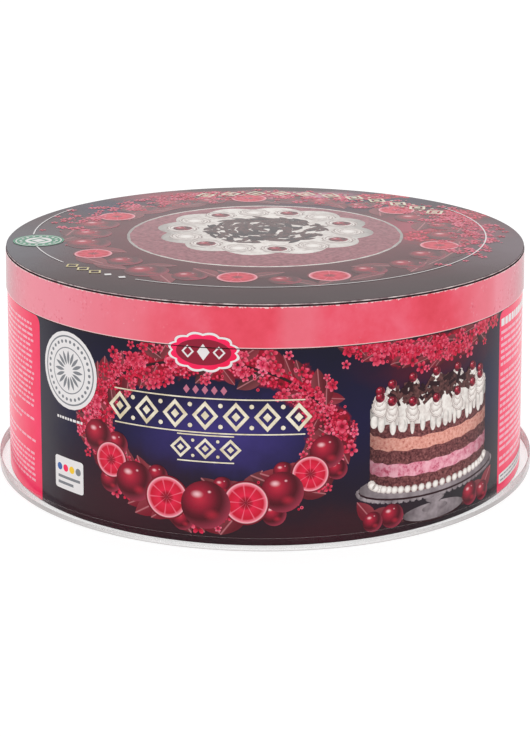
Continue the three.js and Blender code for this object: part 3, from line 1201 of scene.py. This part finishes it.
# beads and petals are (count, share of the radius); bars are shares of the label's half width
sealSet = {"x": -72.9, "y": 51.5, "radius": 13.5, "rings": (0.9, 0.6), "beads": (30, 0.75),
           "bead": 0.62, "petals": (16, 0.34), "petal": (0.18, 1.2), "rowDrop": 3.6,
           "rowInset": 6.4, "rowReach": 13.0, "dashes": (0.45, (0.8, 1.6), 0.4, signLift, 0)}
labelSet = {"x": -73.5, "y": 14.5, "halfWidth": 7.3, "halfHeight": 5.8, "dotRise": 2.0,
            "dot": 1.3, "dotPitch": 3.2, "bars": (0.78, 0.55), "barDrop": 1.4, "barPitch": 2.2,
            "bar": 0.5}


def makeSealAndLabel():
    bm = newArt()
    inkNames = ["white", "grey", "blue", "yellow", "crimson"]
    over = signLift + 0.01
    x, y, radius = sealSet["x"], sealSet["y"], sealSet["radius"]
    stamp(bm, "round", (x, y), radius, signLift)
    for share in sealSet["rings"]:
        stamp(bm, "hairRing", (x, y), radius * share, over, 1)
    petal = (radius * sealSet["petal"][0], sealSet["petal"][1])
    for (count, share), kind, size in ((sealSet["beads"], "dot", sealSet["bead"]),
                                       (sealSet["petals"], "leaf", petal)):
        for index in range(count):
            angle = math.tau * index / count
            place = (x + radius * share * math.cos(angle), y + radius * share * math.sin(angle))
            stamp(bm, kind, place, size, over, 1, angle if kind == "leaf" else 0)
    dashRow(bm, random.Random(4), x - sealSet["rowInset"], y - radius - sealSet["rowDrop"],
            sealSet["rowReach"], sealSet["dashes"])
    x, y, halfWidth = labelSet["x"], labelSet["y"], labelSet["halfWidth"]
    stamp(bm, "plate", (x, y), (halfWidth, labelSet["halfHeight"]), signLift)
    for index, ink in enumerate(("blue", "crimson", "yellow", "grey")):
        place = (x + (index - 1.5) * labelSet["dotPitch"], y + labelSet["dotRise"])
        stamp(bm, "round", place, labelSet["dot"], over, inkNames.index(ink))
    for row, share in enumerate(labelSet["bars"]):
        place = (x - halfWidth * (labelSet["bars"][0] - share),
                 y - labelSet["barDrop"] - labelSet["barPitch"] * row)
        stamp(bm, "bar", place, (halfWidth * share, labelSet["bar"]), over, 1)
    printOnWall(bm, "sealAndLabel", inkNames)


makePanels()
makeGarland()
makeSwag()
makeStand()
makeLayerCake()
makeTitle()
makeBadge()
makeSealAndLabel()
print("wall artwork made")


# artwork on the disc

def towards(centre, bearing, reach):
    # a point reach away from centre; the bearing is in degrees from the front towards the right
    angle = math.radians(bearing)
    return centre[0] + reach * math.sin(angle), centre[1] - reach * math.cos(angle)


# breaks and marks are bearings in degrees
ringSet = {"centre": (-2.0, 10.0), "radius": 83.6, "width": 0.5, "lift": 0.4,
           "breaks": ((-86, -74), (-54, -29.5), (120, 242)), "markFrom": -50, "markStep": 4.2,
           "marks": (("lozengeRing", 2.8, 1),) * 3 + (("lozenge", 1.6, 0),) * 2}


def makeDiscRing():
    # a thin line with three breaks, and a row of lozenges in one of them
    bm = newArt()
    centre, radius = ringSet["centre"], ringSet["radius"]
    breaks = ringSet["breaks"]
    starts = [end for _, end in breaks]
    ends = [start for start, _ in breaks[1:]] + [breaks[0][0] + 360]
    for start, end in zip(starts, ends):
        steps = round((end - start) / 2)
        line = [towards(centre, start + (end - start) * step / steps, radius)
                for step in range(steps + 1)]
        strip(bm, line, ringSet["width"], ringSet["lift"])
    for index, (kind, size, ink) in enumerate(ringSet["marks"]):
        bearing = ringSet["markFrom"] + ringSet["markStep"] * index
        stamp(bm, kind, towards(centre, bearing, radius), size, ringSet["lift"], ink,
              math.radians(bearing))
    printOnDisc(bm, "discRing", ["white", "gold"])


# a layer is (stamp, share of the radius, place in the order, ink)
discSealSet = {"centre": (-82.3, -5.8), "radius": 9.3, "lift": 0.42,
               "layers": (("round", 1, 0, 0), ("hairRing", 0.9, 1, 1), ("round", 0.52, 1, 1),
                          ("lozengeRing", 0.42, 2, 0)),
               "dots": 16, "dotRing": 0.7, "dot": 0.6}


def makeDiscSeal():
    # a plain green round with a ring of dots
    bm = newArt()
    centre, radius, lift = discSealSet["centre"], discSealSet["radius"], discSealSet["lift"]
    for kind, share, order, ink in discSealSet["layers"]:
        stamp(bm, kind, centre, radius * share, lift + 0.01 * order, ink)
    for index in range(discSealSet["dots"]):
        bearing = 360 * index / discSealSet["dots"]
        place = towards(centre, bearing, radius * discSealSet["dotRing"])
        stamp(bm, "dot", place, discSealSet["dot"], lift + 0.01, 1)
    printOnDisc(bm, "discSeal", ["green", "white"])


rosetteSet = {"centre": (0.0, 12.0), "side": 50.0, "sideDrop": 7, "sideLine": 0.9,
              "cream": 40.5, "creamTurn": 0.13, "flakes": 230, "flakeRing": 22.0,
              "flakeWidths": (2.4, 4.6), "flakeHeights": (1.8, 3.2), "flakeTurn": 0.5,
              "dollops": 14, "dollopRing": 31.0, "dollopFrom": 8, "dollop": 6.4,
              "innerDollop": 0.62, "berry": 0.55}


def makeRosette():
    # a whole cake drawn plainly from straight above: crumb side, cream coat, dark flakes, and
    # dollops with berries
    bm = newArt()
    centre = rosetteSet["centre"]
    draw = random.Random(21)
    foot = (centre[0], centre[1] - rosetteSet["sideDrop"])
    stamp(bm, "ring", foot, rosetteSet["side"] + rosetteSet["sideLine"], 0.045, 1)
    stamp(bm, "round", foot, rosetteSet["side"], 0.05)
    stamp(bm, "scallop", centre, rosetteSet["cream"], 0.07, 1, rosetteSet["creamTurn"])
    for index in range(rosetteSet["flakes"]):
        bearing = draw.uniform(0, 360)
        place = towards(centre, bearing, rosetteSet["flakeRing"] * draw.random() ** 0.6)
        size = (draw.uniform(*rosetteSet["flakeWidths"]),
                draw.uniform(*rosetteSet["flakeHeights"]))
        stamp(bm, "leaf", place, size, 0.09 + 0.0003 * index, 2 if index % 3 else 5,
              math.radians(bearing) + draw.gauss(0, rosetteSet["flakeTurn"]))
    size = rosetteSet["dollop"]
    for index in range(rosetteSet["dollops"]):
        bearing = 360 * index / rosetteSet["dollops"] + rosetteSet["dollopFrom"]
        place = towards(centre, bearing, rosetteSet["dollopRing"])
        turn = math.radians(bearing)
        stamp(bm, "dollop", place, size, 0.16, 3, turn)
        stamp(bm, "dollop", place, size * rosetteSet["innerDollop"], 0.17, 3, turn + 0.4)
        if index % 2 == 0:
            stamp(bm, "round", place, size * rosetteSet["berry"], 0.18, 4)
    printOnDisc(bm, "discRosette", ["mauve", "whip", "flake", "dollop", "berry", "twig"])


# a cluster is (bearing, spread) in degrees; firstBlossom's order puts them all over the fruit
wreathSet = {"centre": (0.0, 4.0), "reach": 66.0, "leaves": 38, "leafSides": (-5, 6),
             "leafSizes": (7, 9.5), "leafTurns": (-0.8, 0.8), "fruits": 26,
             "fruitSides": (-2.5, 2.5), "wheelSizes": (7.0, 7.8), "berrySizes": (5.6, 8.4),
             "wheelTurn": 0.2, "blossoms": 620, "blossomReach": (78, 5.5), "blossomEdge": 90,
             "firstBlossom": 250, "clusters": ((104, 20), (150, 30), (215, 24)), "paleness": 0.7}


def makeWreath():
    # berries, cut wheels and leaves in a ring round the cake, and blossoms outside it
    bm = newArt()
    draw = random.Random(29)
    centre, reach = wreathSet["centre"], wreathSet["reach"]
    for index in range(wreathSet["leaves"]):
        bearing = 360 * index / wreathSet["leaves"]
        place = towards(centre, bearing, reach + draw.choice(wreathSet["leafSides"]))
        size = draw.uniform(*wreathSet["leafSizes"])
        turn = math.radians(bearing) + draw.uniform(*wreathSet["leafTurns"])
        stamp(bm, "leaf", place, size, 0.06 + 0.001 * index, 0, turn, draw.random())
    for index in range(wreathSet["fruits"]):
        bearing = 360 * (index + 0.4) / wreathSet["fruits"]
        place = towards(centre, bearing, reach + draw.uniform(*wreathSet["fruitSides"]))
        wheel = index % 4 == 1
        size = draw.uniform(*wreathSet["wheelSizes" if wheel else "berrySizes"])
        stamp(bm, "round", place, size, 0.1 + 0.002 * index, 2 if wheel else 1,
              wreathSet["wheelTurn"] * index if wheel else 0)
    printOnDisc(bm, "discWreath", ["leaf", "berry", "wheel"])

    flowers = newArt()
    for index in range(wreathSet["blossoms"]):
        bearing = draw.choice([draw.gauss(*cluster) for cluster in wreathSet["clusters"]])
        out = draw.gauss(*wreathSet["blossomReach"])
        if out < wreathSet["blossomEdge"]:
            place = towards((0, 0), bearing, out)
            bloom(flowers, draw, place, wreathSet["firstBlossom"] + index, wreathSet["paleness"])
    printOnDisc(flowers, "discBlossoms", ["blossom"])


discFriezeSet = {"centre": (0.0, 2.0), "reach": 78.0, "from": 122, "to": 198, "count": 11,
                 "size": 4.4, "inner": 0.36, "dot": 0.17, "dotRise": 0.7, "lift": 0.41}


def makeDiscFrieze():
    bm = newArt()
    centre, reach, count = discFriezeSet["centre"], discFriezeSet["reach"], discFriezeSet["count"]
    size, lift = discFriezeSet["size"], discFriezeSet["lift"]
    step = (discFriezeSet["to"] - discFriezeSet["from"]) / (count - 1)
    for index in range(count):
        bearing = discFriezeSet["from"] + step * index
        place = towards(centre, bearing, reach)
        for kind, share in (("lozengeRing", 1), ("lozenge", discFriezeSet["inner"])):
            stamp(bm, kind, place, size * share, lift, 0, math.radians(bearing))
        for side in (-1, 1) if index else ():
            out = reach + side * size * discFriezeSet["dotRise"]
            place = towards(centre, bearing - step / 2, out)
            stamp(bm, "dot", place, size * discFriezeSet["dot"], lift)
    printOnDisc(bm, "discFrieze", ["cream"])


makeDiscRing()
makeDiscSeal()
makeRosette()
makeWreath()
makeDiscFrieze()
print("disc artwork made")


# the tray

# a sheet is (material, its grey, veil, facing where the veil starts, facing where it is full);
# the grey is painted shade and reflection
traySet = {"rim": 0.6, "rimHeight": 4.5, "floor": 0.5, "footRounding": 0.5, "innerFillet": 0.7,
           "arcSteps": 5, "footTop": 2.0, "roughness": 0.22, "ior": 1.57,
           "sheets": (("clearThermoformedPET", "c2b6b6", 0.8, 0.5, 0.88),
                      ("clearThermoformedPETFoot", "b0aaa9", 0.92, 0.08, 0.5),
                      ("clearThermoformedPETFlange", "e6e1e0", 0.12, 0.0, 0.3))}


def quarter(centreRadius, centreHeight, rounding, fromAngle, toAngle):
    points = []
    for step in range(traySet["arcSteps"] + 1):
        angle = math.radians(fromAngle + (toAngle - fromAngle) * step / traySet["arcSteps"])
        radius = centreRadius + rounding * math.cos(angle)
        points.append((radius * mm, (centreHeight + rounding * math.sin(angle)) * mm))
    return points


def makeSheet(name, hexColour, veil, fromFacing, toFacing):
    # clear PET sheet, veil being how much of its grey, painted shade and reflection, shows once
    # it is seen edge on
    material, node, shader = newMaterial(name, {"Base Color": hexColour,
                                                "Roughness": traySet["roughness"],
                                                "IOR": traySet["ior"]})
    facing = node("LayerWeight", [0.5], out="Facing")
    body = node("MapRange", [facing, fromFacing, toFacing, 0.0, veil])
    mixed = node("MixShader", [body, node("BsdfTransparent"), shader.outputs[0]])
    feed(material.node_tree.nodes["Material Output"].inputs[0], mixed)
    return material


def makeTray():
    # the rim is clear face on, so the print's foot shows through; its foot greys sooner and
    # darker, with painted shade
    outside = trayHigh.x / mm
    rounding, fillet, lip = traySet["footRounding"], traySet["innerFillet"], traySet["rim"] / 2
    footTop = traySet["footTop"] * mm
    profile = [(0, 0)]
    profile += quarter(outside - rounding, rounding, rounding, -90, 0)
    profile += [(outside * mm, footTop)]
    profile += quarter(outside - lip, traySet["rimHeight"] - lip, lip, 0, 180)
    profile += quarter(outside - 2 * lip - fillet, traySet["floor"] + fillet, fillet, 0, -90)
    profile += [(0, traySet["floor"] * mm)]
    bm = turned(profile)
    bmesh.ops.recalc_face_normals(bm, faces=bm.faces)
    for face in bm.faces:
        middle = face.calc_center_median()
        low, level = middle.z < footTop, abs(face.normal.z) > 0.5
        outer = middle.xy.length > (outside - lip) * mm
        face.material_index = 1 if low and outer else 2 if low and level else 0
    tray = finishMesh(bm, "clearTray", [makeSheet(*sheet) for sheet in traySet["sheets"]])
    ridePiece(tray, "clear_tray", "base_tray")


makeTray()
print("tray made")
